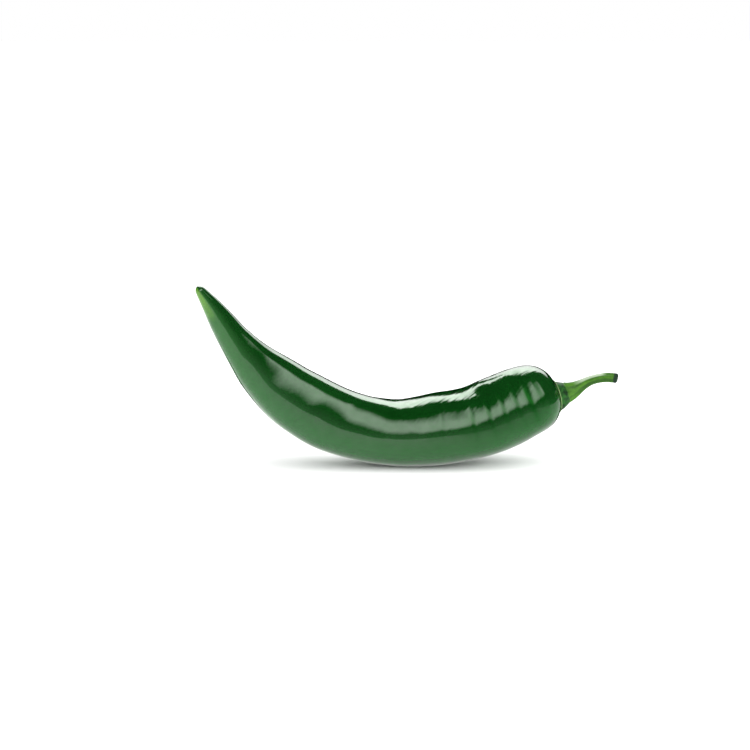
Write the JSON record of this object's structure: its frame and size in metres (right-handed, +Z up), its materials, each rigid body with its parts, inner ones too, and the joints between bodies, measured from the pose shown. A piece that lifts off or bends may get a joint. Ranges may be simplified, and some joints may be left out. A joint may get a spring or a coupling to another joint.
{
  "type": "chilli pepper",
  "caption": "Long curved green chilli pepper, as picked, with a pointed tip, a small calyx on its shoulder and a ribbed cut stem, lying on its belly.",
  "frame": {"origin": "on the resting surface, under the middle of the bounding box", "axes": "+X runs from the tip to the stem, +Y across to the far side, +Z up from the resting surface"},
  "size_m": [0.1434, 0.0272, 0.0621],
  "materials": {
    "pod_skin": "smooth, waxy, high gloss dark green skin",
    "calyx_skin": "satin dark green, finely mottled",
    "stem_skin": "satin yellow-green, ribbed, with a dark dry cut end"
  },
  "bodies": {
    "root": {"pod": "pod_skin", "calyx": "calyx_skin", "stem": "stem_skin"}
  },
  "joints": []
}
